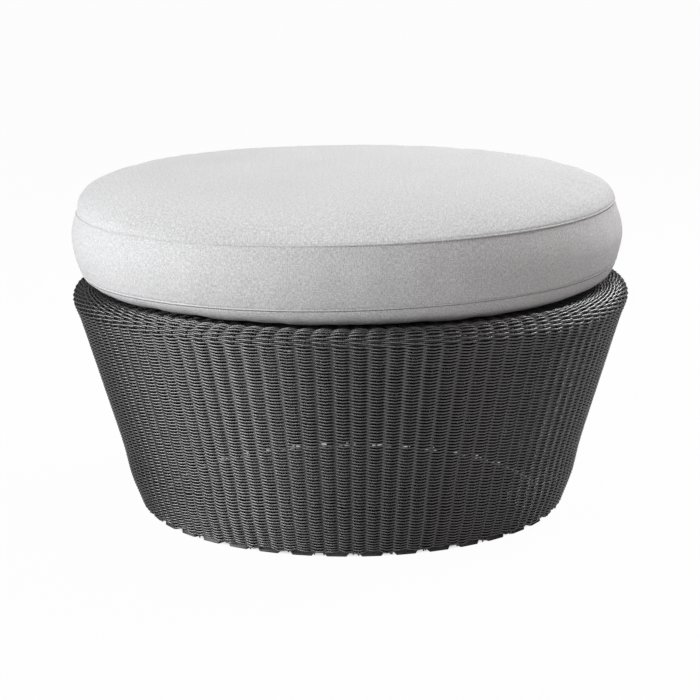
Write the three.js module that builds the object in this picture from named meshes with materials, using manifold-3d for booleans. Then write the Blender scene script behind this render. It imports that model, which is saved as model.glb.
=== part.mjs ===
// A round outdoor footstool: a tapering woven base on a frame of aluminium tube, and a loose round cushion.
// Millimetres, +Z up, the front towards -Y. The origin is on the floor under the middle of the base.
import * as THREE from "three";
import { mergeVertices } from "three/addons/utils/BufferGeometryUtils.js";
import Module from "manifold-3d";

// Whole stool
const widestWidth = 770; // across the woven shoulder
const wovenHeight = 319; // from the floor to the top of the woven rim
const weaveFootWidth = 596.6; // across the lower edge of the weave
const weaveFootHeight = 7; // from the floor to the lower edge of the weave
const fitGap = 0.3; // between pieces that touch

// Weave: ribs of strand floats over upright stakes
const weaveThickness = 7;
const columnCount = 104; // stakes round the base, an even number so that the rows alternate
const fluteDepth = 2; // how far the hollows between the ribs lie below their crests
const rimRise = 4; // from the woven deck up to the top of the rim
const lipWidth = 22; // from the middle of the rim tube inwards to the deck's edge
const outerArcSteps = 6;
const innerArcSteps = 5;

// Frame of aluminium tube
const rimTubeDiameter = 22;
const rimTubeSides = 10;
const footTubeWidth = 16; // across the flat-sided tube at the foot
const footTubeHeight = 18;
const footTubeCorner = 3;
const footRingSteps = 80;
const strutDiameter = 16;
const strutCount = 8;
const barDiameter = 16; // of the bars that cross under the deck
const arcDiameter = 12; // of the bent tubes that join the bars
const arcRingWidth = 380; // across the circle of those bent tubes, between their middles
const tubeSides = 12;
const arcSides = 8;
const cutOverrun = 20; // how far a cutting shape runs past what it cuts

// Foot binding: one strap round the foot tube, with thick pads that stand on the floor
const padCount = 40;
const padDepth = 5.5; // from the floor up to the foot tube, less the fit gap
const padWidth = 20; // along the floor
const padEndSlope = 3; // along the ring, at each end of a pad
const padTurnDegrees = 0.4; // how far the first pad is turned from the even places
const strapThickness = 1.2;
const strapHeight = 12; // from the floor to the strap's upper edges
const strapCorner = 1;

// Cushion
const cushionOverRim = 4.3; // how far the seams stand out past the middle of the rim tube
const cushionBulge = 9; // how far the middle of the band stands out past the seams
const cushionCrown = 50; // from the upper seam to the top
const cushionBandHeight = 80; // from seam to seam
const cushionUndersideDepth = 27.4; // from the lower seam down to the flat underside
const cushionFlatInset = 32.7; // from the deck's edge inwards to the flat part of the underside
const cushionShift = -5; // how far the loose cushion lies to the left
const coverThickness = 1.2;
const cushionSteps = 40;
const crownFlatness = 5.6; // a larger number gives a flatter top
const crownShoulder = 2.4; // a larger number gives a squarer shoulder
const crownShares = [0.5, 0.76, 0.89, 0.96, 0.99]; // radius of each ring as a share of the seam's
const liningShares = [0.76, 0.93]; // the same for the coarser inside
const bandShares = [0.25, 0.5, 0.75]; // height of each ring as a share of the band's
const undersideSteps = 3;

// Zip across the back of the cushion's band
const zipSpanSteps = 10; // facets of the band that the zip runs along
const zipTapeWidth = 24;
const zipTapeThickness = 1;
const zipCoilWidth = 6;
const zipCoilHeight = 1.6;
const sliderLength = 12;
const sliderWidth = 11;
const sliderThickness = 2;
const pullLength = 24;
const pullWidth = 6;
const pullThickness = 2;

const wasm = await Module();
wasm.setup();

const finishes = {
  weave: { color: 0x3b3b3d, roughness: 0.5, metalness: 0 },
  binding: { color: 0x2b2b2d, roughness: 0.45, metalness: 0 },
  tube: { color: 0x3f4042, roughness: 0.4, metalness: 0.6 },
  cover: { color: 0xc9c8c8, roughness: 0.95, metalness: 0 },
  foam: { color: 0xe8e2cf, roughness: 1, metalness: 0 },
  zip: { color: 0xaeadae, roughness: 0.8, metalness: 0 },
  slider: { color: 0x8d8f92, roughness: 0.35, metalness: 1 },
};

const footstool = new THREE.Group();
const base = new THREE.Group();
const cushion = new THREE.Group();
cushion.position.x = cushionShift;
footstool.add(base, cushion);

function addPiece(group, name, geometry, finish) {
  const piece = new THREE.Mesh(geometry, new THREE.MeshStandardMaterial(finishes[finish]));
  piece.name = name;
  group.add(piece);
  return piece;
}

// How far the middle of a chord lies inside its circle
function chordDip(radius, angle) {
  return radius * (1 - Math.cos(angle / 2));
}

// A point at a turn round the stool, counted from the front towards the right
function aroundPoint(radius, height, turn) {
  return new THREE.Vector3(radius * Math.sin(turn), -radius * Math.cos(turn), height);
}

// Turns an outline of [radius, height] points about the stool's middle
function revolve(outline, steps, firstTurn = 0) {
  const points = outline.map(([radius, height]) => new THREE.Vector2(radius, height));
  const turned = new THREE.LatheGeometry(points, steps, firstTurn, 2 * Math.PI);
  return turned.rotateX(Math.PI / 2);
}

// Joins rings of points, each with as many points as the next or half or twice as many, into one skin
// that closes on itself
function skinOfRings(rings) {
  const positions = [];
  const starts = [];
  const faces = [];
  for (const ring of rings) {
    starts.push(positions.length / 3);
    for (const point of ring) {
      positions.push(point.x, point.y, point.z);
    }
  }
  rings.forEach((lower, index) => {
    const next = (index + 1) % rings.length;
    const upper = rings[next];
    const count = Math.min(lower.length, upper.length);
    const lowerPer = lower.length / count;
    const upperPer = upper.length / count;
    for (let step = 0; step < count; step += 1) {
      const low = [];
      const high = [];
      for (let part = 0; part <= lowerPer; part += 1) {
        low.push(starts[index] + ((step * lowerPer + part) % lower.length));
      }
      for (let part = 0; part <= upperPer; part += 1) {
        high.push(starts[next] + ((step * upperPer + part) % upper.length));
      }
      faces.push(low[0], low[1], high[0], low[1], high[1], high[0]);
      if (lowerPer > 1) {
        faces.push(low[1], low[2], high[1]);
      }
      if (upperPer > 1) {
        faces.push(low[1], high[2], high[1]);
      }
    }
  });
  const skin = new THREE.BufferGeometry();
  skin.setAttribute("position", new THREE.Float32BufferAttribute(positions, 3));
  skin.setIndex(faces);
  return skin;
}

function solidOf(geometry) {
  const bare = geometry.clone();
  bare.deleteAttribute("normal");
  bare.deleteAttribute("uv");
  const merged = mergeVertices(bare);
  const mesh = new wasm.Mesh({
    numProp: 3,
    vertProperties: new Float32Array(merged.attributes.position.array),
    triVerts: new Uint32Array(merged.index.array),
  });
  return new wasm.Manifold(mesh);
}

function geometryOf(solid) {
  const mesh = solid.getMesh();
  const geometry = new THREE.BufferGeometry();
  geometry.setAttribute("position", new THREE.BufferAttribute(mesh.vertProperties, 3));
  geometry.setIndex(new THREE.BufferAttribute(mesh.triVerts, 1));
  return geometry;
}

// A round bar from one point to another
function barBetween(start, end, radius, sides) {
  const along = end.clone().sub(start);
  const bar = new THREE.CylinderGeometry(radius, radius, along.length(), sides);
  const up = new THREE.Vector3(0, 1, 0);
  bar.applyQuaternion(new THREE.Quaternion().setFromUnitVectors(up, along.clone().normalize()));
  const middle = start.clone().add(end).multiplyScalar(1 / 2);
  return bar.translate(middle.x, middle.y, middle.z);
}

// A closed outline of a circle of radius tube, whose middle is at the given radius and height
function circleOutline(radius, height, tube, sides) {
  const outline = [];
  for (let side = 0; side <= sides; side += 1) {
    const angle = (2 * Math.PI * (side % sides)) / sides;
    outline.push([radius + tube * Math.cos(angle), height + tube * Math.sin(angle)]);
  }
  return outline;
}

// Rim: the woven shoulder is an arc round the rim tube, and the wall runs straight down from it
const columnTurn = (2 * Math.PI) / columnCount;
const rimTube = rimTubeDiameter / 2;
const shoulderRadius = rimTube + fitGap + weaveThickness;
const rimRadius = widestWidth / 2 - shoulderRadius;
const rimHeight = wovenHeight - shoulderRadius;
const weaveFootRadius = weaveFootWidth / 2;
const footToRim = new THREE.Vector2(rimRadius - weaveFootRadius, rimHeight - weaveFootHeight);
const wallTaper = Math.asin(shoulderRadius / footToRim.length()) + Math.atan2(footToRim.x, footToRim.y);
const wallRun = weaveThickness / Math.cos(wallTaper); // the wall's thickness, level with the floor

function wallInsideRadius(height) {
  return weaveFootRadius - wallRun + (height - weaveFootHeight) * Math.tan(wallTaper);
}

// Foot: the pads' outer faces meet the inside of the weave's lower edge
const padTurn = (2 * Math.PI) / padCount;
const footRingTurn = (2 * Math.PI) / footRingSteps;
const padOuterRadius = wallInsideRadius(weaveFootHeight) - chordDip(weaveFootRadius, columnTurn) - fitGap;
const footSlack = fitGap + chordDip(padOuterRadius, Math.max(padTurn / 2, footRingTurn));
const footTubeOuter = padOuterRadius - strapThickness - footSlack;
const footTubeInner = footTubeOuter - footTubeWidth;
const footTubeMiddle = (footTubeOuter + footTubeInner) / 2;
const footTubeBottom = padDepth + fitGap;
const footTubeTop = footTubeBottom + footTubeHeight;

// Deck and what carries it
const deckHeight = wovenHeight - rimRise;
const deckUnderside = deckHeight - weaveThickness;
const lipEndRadius = rimRadius - lipWidth;
const barHeight = deckUnderside - fitGap - barDiameter / 2;
const arcHeight = deckUnderside - fitGap - arcDiameter / 2;

const rimTubeOutline = circleOutline(rimRadius, rimHeight, rimTube, rimTubeSides);
const rimSteps = columnCount / 2;
const firstStake = columnTurn / 2; // a stake stands half a column to each side of the front

function makeRimTube() {
  addPiece(base, "rim_tube_ring", revolve(rimTubeOutline, rimSteps, firstStake), "tube");
}

function footTubeOutline() {
  const [inner, outer, low, high] = [footTubeInner, footTubeOuter, footTubeBottom, footTubeTop];
  return [
    [inner + footTubeCorner, low],
    [outer - footTubeCorner, low],
    [outer, low + footTubeCorner],
    [outer, high - footTubeCorner],
    [outer - footTubeCorner, high],
    [inner + footTubeCorner, high],
    [inner, high - footTubeCorner],
    [inner, low + footTubeCorner],
    [inner + footTubeCorner, low],
  ];
}

const padFirstTurn = THREE.MathUtils.degToRad(padTurnDegrees) + padTurn / 2;

function makeFootTube() {
  const ring = revolve(footTubeOutline(), footRingSteps, padFirstTurn + footRingTurn / 2);
  addPiece(base, "foot_tube_ring", ring, "tube");
}

// Sloping struts join the two rings inside the wall
function makeStruts() {
  const rimCut = solidOf(revolve(circleOutline(rimRadius, rimHeight, rimTube + fitGap, rimTubeSides), rimSteps, firstStake));
  const strut = strutDiameter / 2;
  const footCutOutline = [
    [footTubeInner - cutOverrun, 0],
    [footTubeOuter + cutOverrun, 0],
    [footTubeOuter + cutOverrun, footTubeTop + fitGap],
    [footTubeInner - cutOverrun, footTubeTop + fitGap],
    [footTubeInner - cutOverrun, 0],
  ];
  const footCut = solidOf(revolve(footCutOutline, footRingSteps));
  for (let index = 0; index < strutCount; index += 1) {
    const turn = (2 * Math.PI * (index + 1 / 2)) / strutCount;
    const low = aroundPoint(footTubeMiddle, footTubeTop, turn);
    const high = aroundPoint(rimRadius, rimHeight, turn);
    low.add(low.clone().sub(high).normalize().multiplyScalar(strut));
    const whole = solidOf(barBetween(low, high, strut, tubeSides));
    const cut = whole.subtract(rimCut).subtract(footCut);
    addPiece(base, `strut_${index + 1}`, geometryOf(cut), "tube");
  }
}

// Under the deck one bar crosses the rim ring, two half bars meet it, and bent tubes join them
function makeDeckFrame() {
  const bar = barDiameter / 2;
  const rimCut = solidOf(revolve(circleOutline(rimRadius, rimHeight, rimTube + fitGap, rimTubeSides), rimSteps, firstStake));
  const left = new THREE.Vector3(-rimRadius, 0, barHeight);
  const right = new THREE.Vector3(rimRadius, 0, barHeight);
  const front = new THREE.Vector3(0, -rimRadius, barHeight);
  const back = new THREE.Vector3(0, rimRadius, barHeight);
  const middle = new THREE.Vector3(0, 0, barHeight);
  const longBar = solidOf(barBetween(left, right, bar, tubeSides)).subtract(rimCut);
  addPiece(base, "deck_bar_long", geometryOf(longBar), "tube");
  const longCut = solidOf(barBetween(left, right, bar + fitGap, tubeSides));
  const halfBars = { deck_bar_front: front, deck_bar_back: back };
  for (const [name, end] of Object.entries(halfBars)) {
    const half = solidOf(barBetween(middle, end, bar, tubeSides)).subtract(rimCut).subtract(longCut);
    addPiece(base, name, geometryOf(half), "tube");
  }
  const crossCut = solidOf(barBetween(front, back, bar + fitGap, tubeSides));
  const arcRadius = arcRingWidth / 2;
  const wholeRing = solidOf(revolve(circleOutline(arcRadius, arcHeight, arcDiameter / 2, arcSides), rimSteps));
  const quarterSize = arcRadius + cutOverrun;
  const corners = {
    deck_arc_front_left: [-1, -1],
    deck_arc_front_right: [1, -1],
    deck_arc_back_right: [1, 1],
    deck_arc_back_left: [-1, 1],
  };
  for (const [name, [sideways, backwards]] of Object.entries(corners)) {
    const quarter = new THREE.BoxGeometry(quarterSize, quarterSize, quarterSize);
    quarter.translate((sideways * quarterSize) / 2, (backwards * quarterSize) / 2, arcHeight);
    const arc = wholeRing.intersect(solidOf(quarter)).subtract(longCut).subtract(crossCut);
    addPiece(base, name, geometryOf(arc), "tube");
  }
}

// The woven wall: a fluted outside with a rib over each stake, rolled over the rim tube to the deck,
// and a plain inside
function makeWovenWall() {
  const outerEnd = Math.PI - Math.asin((deckHeight - rimHeight) / shoulderRadius);
  const outside = [[weaveFootRadius, weaveFootHeight, -wallTaper]];
  for (let step = 0; step <= outerArcSteps; step += 1) {
    const angle = -wallTaper + ((outerEnd + wallTaper) * step) / outerArcSteps;
    const radius = rimRadius + shoulderRadius * Math.cos(angle);
    outside.push([radius, rimHeight + shoulderRadius * Math.sin(angle), angle]);
  }
  outside.push([lipEndRadius, deckHeight, Math.PI / 2]);
  const innerReach = (rimTube + fitGap) / Math.cos(Math.PI / (2 * innerArcSteps));
  const innerEnd = Math.PI - Math.asin((deckUnderside - rimHeight) / innerReach);
  const inside = [[lipEndRadius, deckUnderside]];
  for (let step = 0; step <= innerArcSteps; step += 1) {
    const angle = innerEnd - ((innerEnd + wallTaper) * step) / innerArcSteps;
    inside.push([rimRadius + innerReach * Math.cos(angle), rimHeight + innerReach * Math.sin(angle)]);
  }
  inside.push([weaveFootRadius - wallRun, weaveFootHeight]);
  const rings = outside.map(([radius, height, facing]) => {
    const ring = [];
    for (let half = 0; half < 2 * columnCount; half += 1) {
      const sunk = half % 2 === 0 ? 0 : fluteDepth;
      const turn = firstStake + (half * columnTurn) / 2;
      ring.push(aroundPoint(radius - sunk * Math.cos(facing), height - sunk * Math.sin(facing), turn));
    }
    return ring;
  });
  for (const [radius, height] of inside) {
    const ring = [];
    for (let column = 0; column < columnCount; column += 1) {
      ring.push(aroundPoint(radius, height, firstStake + column * columnTurn));
    }
    rings.push(ring);
  }
  addPiece(base, "woven_wall", skinOfRings(rings), "weave");
}

function makeWovenDeck() {
  const edge = lipEndRadius - fitGap;
  const outline = [
    [0, deckUnderside],
    [edge, deckUnderside],
    [edge, deckHeight],
    [0, deckHeight],
  ];
  addPiece(base, "woven_deck", revolve(outline, columnCount, firstStake), "weave");
}

// The foot binding: a strap folded up round the foot tube, open at the top, that thickens into pads
function bindingSection(lowest, turn) {
  const outer = padOuterRadius;
  const inner = footTubeInner - footSlack - strapThickness;
  const lining = strapThickness;
  const section = [
    [outer, strapHeight],
    [outer, lowest + strapCorner],
    [outer - strapCorner, lowest],
    [inner + strapCorner, lowest],
    [inner, lowest + strapCorner],
    [inner, strapHeight],
    [inner + lining, strapHeight],
    [inner + lining, padDepth],
    [outer - lining, padDepth],
    [outer - lining, strapHeight],
  ];
  return section.map(([radius, height]) => aroundPoint(radius, height, turn));
}

function makeFootBinding() {
  const strapLow = padDepth - strapThickness;
  const padHalf = padWidth / 2 / padOuterRadius;
  const slopeEnd = padHalf + padEndSlope / padOuterRadius;
  const rings = [];
  for (let pad = 0; pad < padCount; pad += 1) {
    const middle = padFirstTurn + pad * padTurn;
    rings.push(bindingSection(strapLow, middle - slopeEnd));
    rings.push(bindingSection(0, middle - padHalf));
    rings.push(bindingSection(0, middle + padHalf));
    rings.push(bindingSection(strapLow, middle + slopeEnd));
  }
  addPiece(base, "foot_binding", skinOfRings(rings), "binding");
}

// Cushion: heights from the deck up
const cushionBottom = deckHeight + fitGap;
const lowerSeam = cushionBottom + cushionUndersideDepth;
const upperSeam = lowerSeam + cushionBandHeight;
const seamRadius = rimRadius + cushionOverRim;
const flatRadius = lipEndRadius - cushionFlatInset;

// Height of the crown above the upper seam, at a share of the seam's radius
function crownHeight(share, inset) {
  return (cushionCrown - inset) * (1 - share ** crownFlatness) ** (1 / crownShoulder);
}

function crownOutline(shares, inset) {
  const foot = upperSeam + fitGap / 2;
  const outline = [[seamRadius - inset, foot]];
  for (const share of [...shares].reverse()) {
    outline.push([(seamRadius - inset) * share, foot + crownHeight(share, inset)]);
  }
  outline.push([0, foot + crownHeight(0, inset)]);
  return outline;
}

function undersideOutline(inset) {
  const foot = lowerSeam - fitGap / 2;
  const depth = foot - cushionBottom - inset;
  const outline = [
    [0, foot - depth],
    [flatRadius, foot - depth],
  ];
  for (let step = 1; step <= undersideSteps; step += 1) {
    const angle = (Math.PI / 2) * (step / undersideSteps);
    const radius = flatRadius + (seamRadius - inset - flatRadius) * Math.sin(angle);
    outline.push([radius, foot - depth * Math.cos(angle)]);
  }
  return outline;
}

function bandRadius(share, inset) {
  return seamRadius + cushionBulge * Math.sin(Math.PI * share) - inset;
}

function bandOutline(shares, inset) {
  const low = lowerSeam + fitGap / 2;
  const high = upperSeam - fitGap / 2;
  return [0, ...shares, 1].map((share) => [bandRadius(share, inset), low + (high - low) * share]);
}

function makeCushion() {
  const lining = coverThickness;
  const top = [...crownOutline(crownShares, 0), ...crownOutline(liningShares, lining).reverse()];
  addPiece(cushion, "cushion_top_panel", revolve([...top, top[0]], cushionSteps), "cover");
  const bottom = [...undersideOutline(0), ...undersideOutline(lining).reverse()];
  addPiece(cushion, "cushion_bottom_panel", revolve(bottom, cushionSteps), "cover");
  const band = [...bandOutline(bandShares, 0), ...bandOutline([1 / 2], lining).reverse()];
  addPiece(cushion, "cushion_band", revolve([...band, band[0]], cushionSteps), "cover");
  const inset = coverThickness + fitGap;
  const foam = [
    ...undersideOutline(inset),
    [bandRadius(1 / 2, inset + fitGap), (lowerSeam + upperSeam) / 2],
    ...crownOutline(liningShares, inset),
  ];
  addPiece(cushion, "cushion_foam", revolve(foam, cushionSteps), "foam");
}

// Zip: a tape that follows the band's facets across the back, with the coil standing out of it
const zipHeight = (lowerSeam + upperSeam) / 2;
const cushionTurn = (2 * Math.PI) / cushionSteps;
const zipTapeInner = seamRadius + cushionBulge + fitGap;
const zipTapeOuter = zipTapeInner + zipTapeThickness;
const zipFirstTurn = cushionTurn * Math.round((cushionSteps - zipSpanSteps) / 2);

function makeZip() {
  const half = zipTapeWidth / 2;
  const coil = zipCoilWidth / 2;
  const section = [
    [zipTapeInner, -half],
    [zipTapeOuter, -half],
    [zipTapeOuter, -coil],
    [zipTapeOuter + zipCoilHeight, 0],
    [zipTapeOuter, coil],
    [zipTapeOuter, half],
    [zipTapeInner, half],
  ];
  const stations = [];
  for (let step = 0; step <= zipSpanSteps; step += 1) {
    const turn = zipFirstTurn + step * cushionTurn;
    stations.push(section.map(([radius, rise]) => aroundPoint(radius, zipHeight + rise, turn)));
  }
  addPiece(cushion, "zip_tape", cappedSkin(stations), "zip");
}

// Joins a row of like outlines into a skin and closes its two ends
function cappedSkin(stations) {
  const count = stations[0].length;
  const positions = stations.flat().flatMap((point) => [point.x, point.y, point.z]);
  const faces = [];
  for (let station = 0; station + 1 < stations.length; station += 1) {
    for (let side = 0; side < count; side += 1) {
      const near = station * count + side;
      const nearNext = station * count + ((side + 1) % count);
      faces.push(near, near + count, nearNext, nearNext, near + count, nearNext + count);
    }
  }
  const last = (stations.length - 1) * count;
  for (let side = 1; side + 1 < count; side += 1) {
    faces.push(0, side, side + 1);
    faces.push(last, last + side + 1, last + side);
  }
  const skin = new THREE.BufferGeometry();
  skin.setAttribute("position", new THREE.Float32BufferAttribute(positions, 3));
  skin.setIndex(faces);
  return skin;
}

function makeZipSlider() {
  const body = new THREE.BoxGeometry(sliderLength, sliderThickness, sliderWidth);
  const pull = new THREE.BoxGeometry(pullWidth, pullThickness, pullLength);
  pull.translate(0, (sliderThickness + pullThickness) / 2 - fitGap, (sliderWidth - pullLength) / 2);
  const whole = geometryOf(solidOf(body).add(solidOf(pull)));
  const turn = zipFirstTurn + cushionTurn;
  const reach = zipTapeOuter + zipCoilHeight + fitGap + sliderThickness / 2;
  const place = aroundPoint(reach, zipHeight, turn);
  whole.rotateZ(turn + Math.PI);
  whole.translate(place.x, place.y, place.z);
  addPiece(cushion, "zip_slider", whole, "slider");
}

makeRimTube();
makeFootTube();
makeStruts();
makeDeckFrame();
makeWovenWall();
makeWovenDeck();
makeFootBinding();
makeCushion();
makeZip();
makeZipSlider();

export default footstool;
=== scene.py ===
"""Dresses the round woven footstool: its strands, stakes, foot binding, frame, cushion and zip.

Every size is in metres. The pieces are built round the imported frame, which is never changed.
"""

import math

import bpy
import numpy as np
from bpy.props import FloatProperty, FloatVectorProperty, IntProperty, PointerProperty
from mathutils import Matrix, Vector


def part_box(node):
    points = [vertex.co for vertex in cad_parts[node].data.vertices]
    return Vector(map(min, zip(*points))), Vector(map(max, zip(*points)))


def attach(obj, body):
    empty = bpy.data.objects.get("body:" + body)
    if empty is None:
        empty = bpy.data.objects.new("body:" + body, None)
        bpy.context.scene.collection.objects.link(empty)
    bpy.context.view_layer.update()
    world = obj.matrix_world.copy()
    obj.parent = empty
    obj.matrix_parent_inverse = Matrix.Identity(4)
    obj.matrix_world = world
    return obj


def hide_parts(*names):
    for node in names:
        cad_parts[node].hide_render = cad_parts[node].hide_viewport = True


bl_info = {
    "name": "Woven Footstool",
    "version": (1, 0, 0),
    "blender": (4, 5, 0),
    "location": "View3D > Sidebar > Footstool",
    "description": "Models a round woven footstool with a loose cushion around its frame",
    "category": "Object",
}

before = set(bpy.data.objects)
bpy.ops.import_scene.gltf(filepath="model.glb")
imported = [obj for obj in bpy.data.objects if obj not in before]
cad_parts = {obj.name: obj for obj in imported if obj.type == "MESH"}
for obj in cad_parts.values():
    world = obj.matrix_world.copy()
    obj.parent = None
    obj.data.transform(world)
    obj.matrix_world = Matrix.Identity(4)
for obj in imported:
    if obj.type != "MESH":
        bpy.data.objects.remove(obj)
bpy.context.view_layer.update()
MM = 0.001
TURN = 2 * math.pi


# Measures read from the frame


def vertex_rows(mesh, key="co"):
    """The place, or another vector, of every corner of a mesh, as rows of x, y, z."""
    rows = np.empty(3 * len(mesh.vertices), np.float32)
    mesh.vertices.foreach_get(key, rows)
    return rows.reshape(-1, 3).astype(float)


def node_points(node):
    """Every corner of a frame node."""
    return vertex_rows(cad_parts[node].data)


def node_radii(node, centre_x=0.0):
    """The distance of every corner of a frame node from the upright axis."""
    points = node_points(node)
    return np.hypot(points[:, 0] - centre_x, points[:, 1])


def heights(node):
    """The lowest and highest point of a frame node."""
    low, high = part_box(node)
    return low.z, high.z


def middle_height(node):
    """The height of a frame node's middle."""
    return sum(heights(node)) / 2


WALL_LOW, _ = heights("woven_wall")
DECK_LOW, DECK_TOP = heights("woven_deck")
WEAVE_THICKNESS = DECK_TOP - DECK_LOW
WALL_POINTS = node_points("woven_wall")
WALL_REACH = float(node_radii("woven_wall").max())
WALL_FOOT = float(node_radii("woven_wall")[WALL_POINTS[:, 2] < WALL_LOW + 0.1 * MM].max())
RIM_TUBE_RADIUS = float(np.ptp(node_radii("rim_tube_ring")) / 2)
RIM_CENTRE = float(node_radii("rim_tube_ring").min()) + RIM_TUBE_RADIUS
RIM_HEIGHT = middle_height("rim_tube_ring")
SHOULDER = WALL_REACH - RIM_CENTRE
CUSHION_LOW, CUSHION_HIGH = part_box("cushion_band")
CUSHION_X = (CUSHION_LOW.x + CUSHION_HIGH.x) / 2
CUSHION_REACH = (CUSHION_HIGH.y - CUSHION_LOW.y) / 2
SEAM_REACH = (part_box("cushion_top_panel")[1].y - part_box("cushion_top_panel")[0].y) / 2
UNDERSIDE, LOWER_SEAM = heights("cushion_bottom_panel")
UPPER_SEAM, CUSHION_TOP = heights("cushion_top_panel")
UNDERSIDE_POINTS = node_points("cushion_bottom_panel")
UNDERSIDE_FLAT = float(
    node_radii("cushion_bottom_panel", CUSHION_X)[UNDERSIDE_POINTS[:, 2] < UNDERSIDE + 0.1 * MM].max()
)

# The frame behind the weave, and the pads under it
STRUTS = 8
STRUT_DIAMETER = 16 * MM
BAR_DIAMETER = 16 * MM
BAR_HEIGHT = middle_height("deck_bar_long")
ARC_DIAMETER = 12 * MM
ARC_HEIGHT = middle_height("deck_arc_back_right")
ARC_RADIUS = float(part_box("deck_arc_back_right")[1].x) - ARC_DIAMETER / 2
FOOT_TUBE_LOW, FOOT_TUBE_TOP = heights("foot_tube_ring")
FOOT_TUBE_RADII = node_radii("foot_tube_ring")
FOOT_TUBE_MIDDLE = float(FOOT_TUBE_RADII.min() + FOOT_TUBE_RADII.max()) / 2
PADS = 40
PAD_PITCH = TURN / PADS
FIRST_GAP = math.radians(0.4)
FIRST_PAD = FIRST_GAP + PAD_PITCH / 2
PAD_TOP = 5.3 * MM
PAD_WIDENING = 1.25
PAD_LEAN = 3 * MM


# Sizes and colours that a user would change


class WeaveSizes(bpy.types.PropertyGroup):
    """Sizes of the weave."""

    strand_diameter: FloatProperty(
        name="Strand diameter", description="Thickness of the round strand that runs round the stool",
        default=2.6 * MM, unit="LENGTH",
    )
    stake_diameter: FloatProperty(
        name="Stake diameter",
        description="Thickness of the upright strand that each column is woven over",
        default=2.0 * MM, unit="LENGTH",
    )
    row_spacing: FloatProperty(
        name="Row spacing", description="From the middle of one row to the middle of the next",
        default=2.2 * MM, unit="LENGTH",
    )
    columns: IntProperty(
        name="Columns", description="Stakes round the stool, an even number", default=104
    )
    float_dip: FloatProperty(
        name="Float dip", description="How far a strand hangs down where it crosses a stake",
        default=0.55 * MM, unit="LENGTH",
    )
    unevenness: FloatProperty(
        name="Unevenness", description="How far the hand-woven strands stray from even rows",
        default=0.1 * MM, unit="LENGTH",
    )
    pad_arch: FloatProperty(
        name="Arch over the pads", description="How far the lowest rows rise over each foot pad",
        default=2.4 * MM, unit="LENGTH",
    )
    foot_belly: FloatProperty(
        name="Belly above the foot", description="How far the wall swells out just above its foot",
        default=3.2 * MM, unit="LENGTH",
    )
    rim_belly: FloatProperty(
        name="Belly under the rim",
        description="How far the wall swells out where it starts to roll over the rim",
        default=1.8 * MM, unit="LENGTH",
    )
    dish_radius: FloatProperty(
        name="Dish radius", description="Radius of the hollow where the rim runs down into the deck",
        default=12 * MM, unit="LENGTH",
    )


class CushionSizes(bpy.types.PropertyGroup):
    """Sizes of the cushion's cover."""

    crown_flatness: FloatProperty(
        name="Crown flatness", description="A larger number gives a flatter top", default=6.0
    )
    crown_shoulder: FloatProperty(
        name="Crown shoulder", description="A larger number gives a squarer shoulder", default=2.4
    )
    seam_skew: FloatProperty(
        name="Seam skew",
        description="How far the seams rise towards the right, from the middle to the edge",
        default=7 * MM, unit="LENGTH",
    )
    piping_diameter: FloatProperty(
        name="Piping diameter", description="Thickness of the cord sewn into each seam",
        default=2.2 * MM, unit="LENGTH",
    )
    seam_depth: FloatProperty(
        name="Seam depth", description="How deep the cover is drawn in beside the piping",
        default=0.9 * MM, unit="LENGTH",
    )
    front_dome: FloatProperty(
        name="Front dome",
        description="A larger number keeps the front of the top panel flat for longer",
        default=4.0,
    )
    band_waves: FloatProperty(
        name="Waves in the band", description="How far the band swells and sinks between its seams",
        default=0.5 * MM, unit="LENGTH",
    )
    stitch_pitch: FloatProperty(
        name="Stitch pitch", description="From one stitch to the next", default=3.6 * MM, unit="LENGTH"
    )


class Finishes(bpy.types.PropertyGroup):
    """Colours of the finishes."""

    strand_colour: FloatVectorProperty(
        name="Strand colour", description="Colour of the graphite strand",
        default=(0.009, 0.009, 0.009), subtype="COLOR",
    )
    strap_colour: FloatVectorProperty(
        name="Strap colour", description="Colour of the strap round the foot",
        default=(0.014, 0.014, 0.014), subtype="COLOR",
    )
    tube_colour: FloatVectorProperty(
        name="Tube colour", description="Colour of the powder coat on the frame",
        default=(0.05, 0.05, 0.053), subtype="COLOR",
    )
    cover_colour: FloatVectorProperty(
        name="Cover colour", description="Colour of the cushion's woven cover",
        default=(0.595, 0.595, 0.597), subtype="COLOR",
    )


# Working helpers


def deselect_all():
    """Leaves nothing selected, in object mode."""
    if bpy.context.mode != "OBJECT":
        bpy.ops.object.mode_set(mode="OBJECT")
    bpy.ops.object.select_all(action="DESELECT")


def make_active(piece):
    """Selects one piece alone."""
    deselect_all()
    piece.select_set(True)
    bpy.context.view_layer.objects.active = piece


def edit_all(piece):
    """Opens a piece in edit mode with all of it selected."""
    make_active(piece)
    bpy.ops.object.mode_set(mode="EDIT")
    bpy.ops.mesh.select_all(action="SELECT")


def close_outwards():
    """Turns the open piece's faces outwards, and leaves edit mode."""
    bpy.ops.mesh.select_all(action="SELECT")
    bpy.ops.mesh.normals_make_consistent(inside=False)
    bpy.ops.object.mode_set(mode="OBJECT")


def named_active(name):
    """Names the piece that was just added."""
    piece = bpy.context.object
    piece.name = name
    piece.data.name = name
    return piece


def mesh_points(piece):
    """Every corner of a piece."""
    return vertex_rows(piece.data)


def set_mesh_points(piece, points):
    """Moves every corner of a piece."""
    piece.data.vertices.foreach_set("co", np.asarray(points, np.float32).ravel())
    piece.data.update()


def add_object(name, data):
    """Puts an object with the given data in the scene."""
    added = bpy.data.objects.new(name, data)
    bpy.context.scene.collection.objects.link(added)
    return added


def apply_modifier(piece, kind, **settings):
    """Adds a modifier to the active piece, sets it and applies it."""
    bpy.ops.object.modifier_add(type=kind)
    modifier = piece.modifiers[-1]
    for key, value in settings.items():
        setattr(modifier, key, value)
    bpy.ops.object.modifier_apply(modifier=modifier.name)


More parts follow.
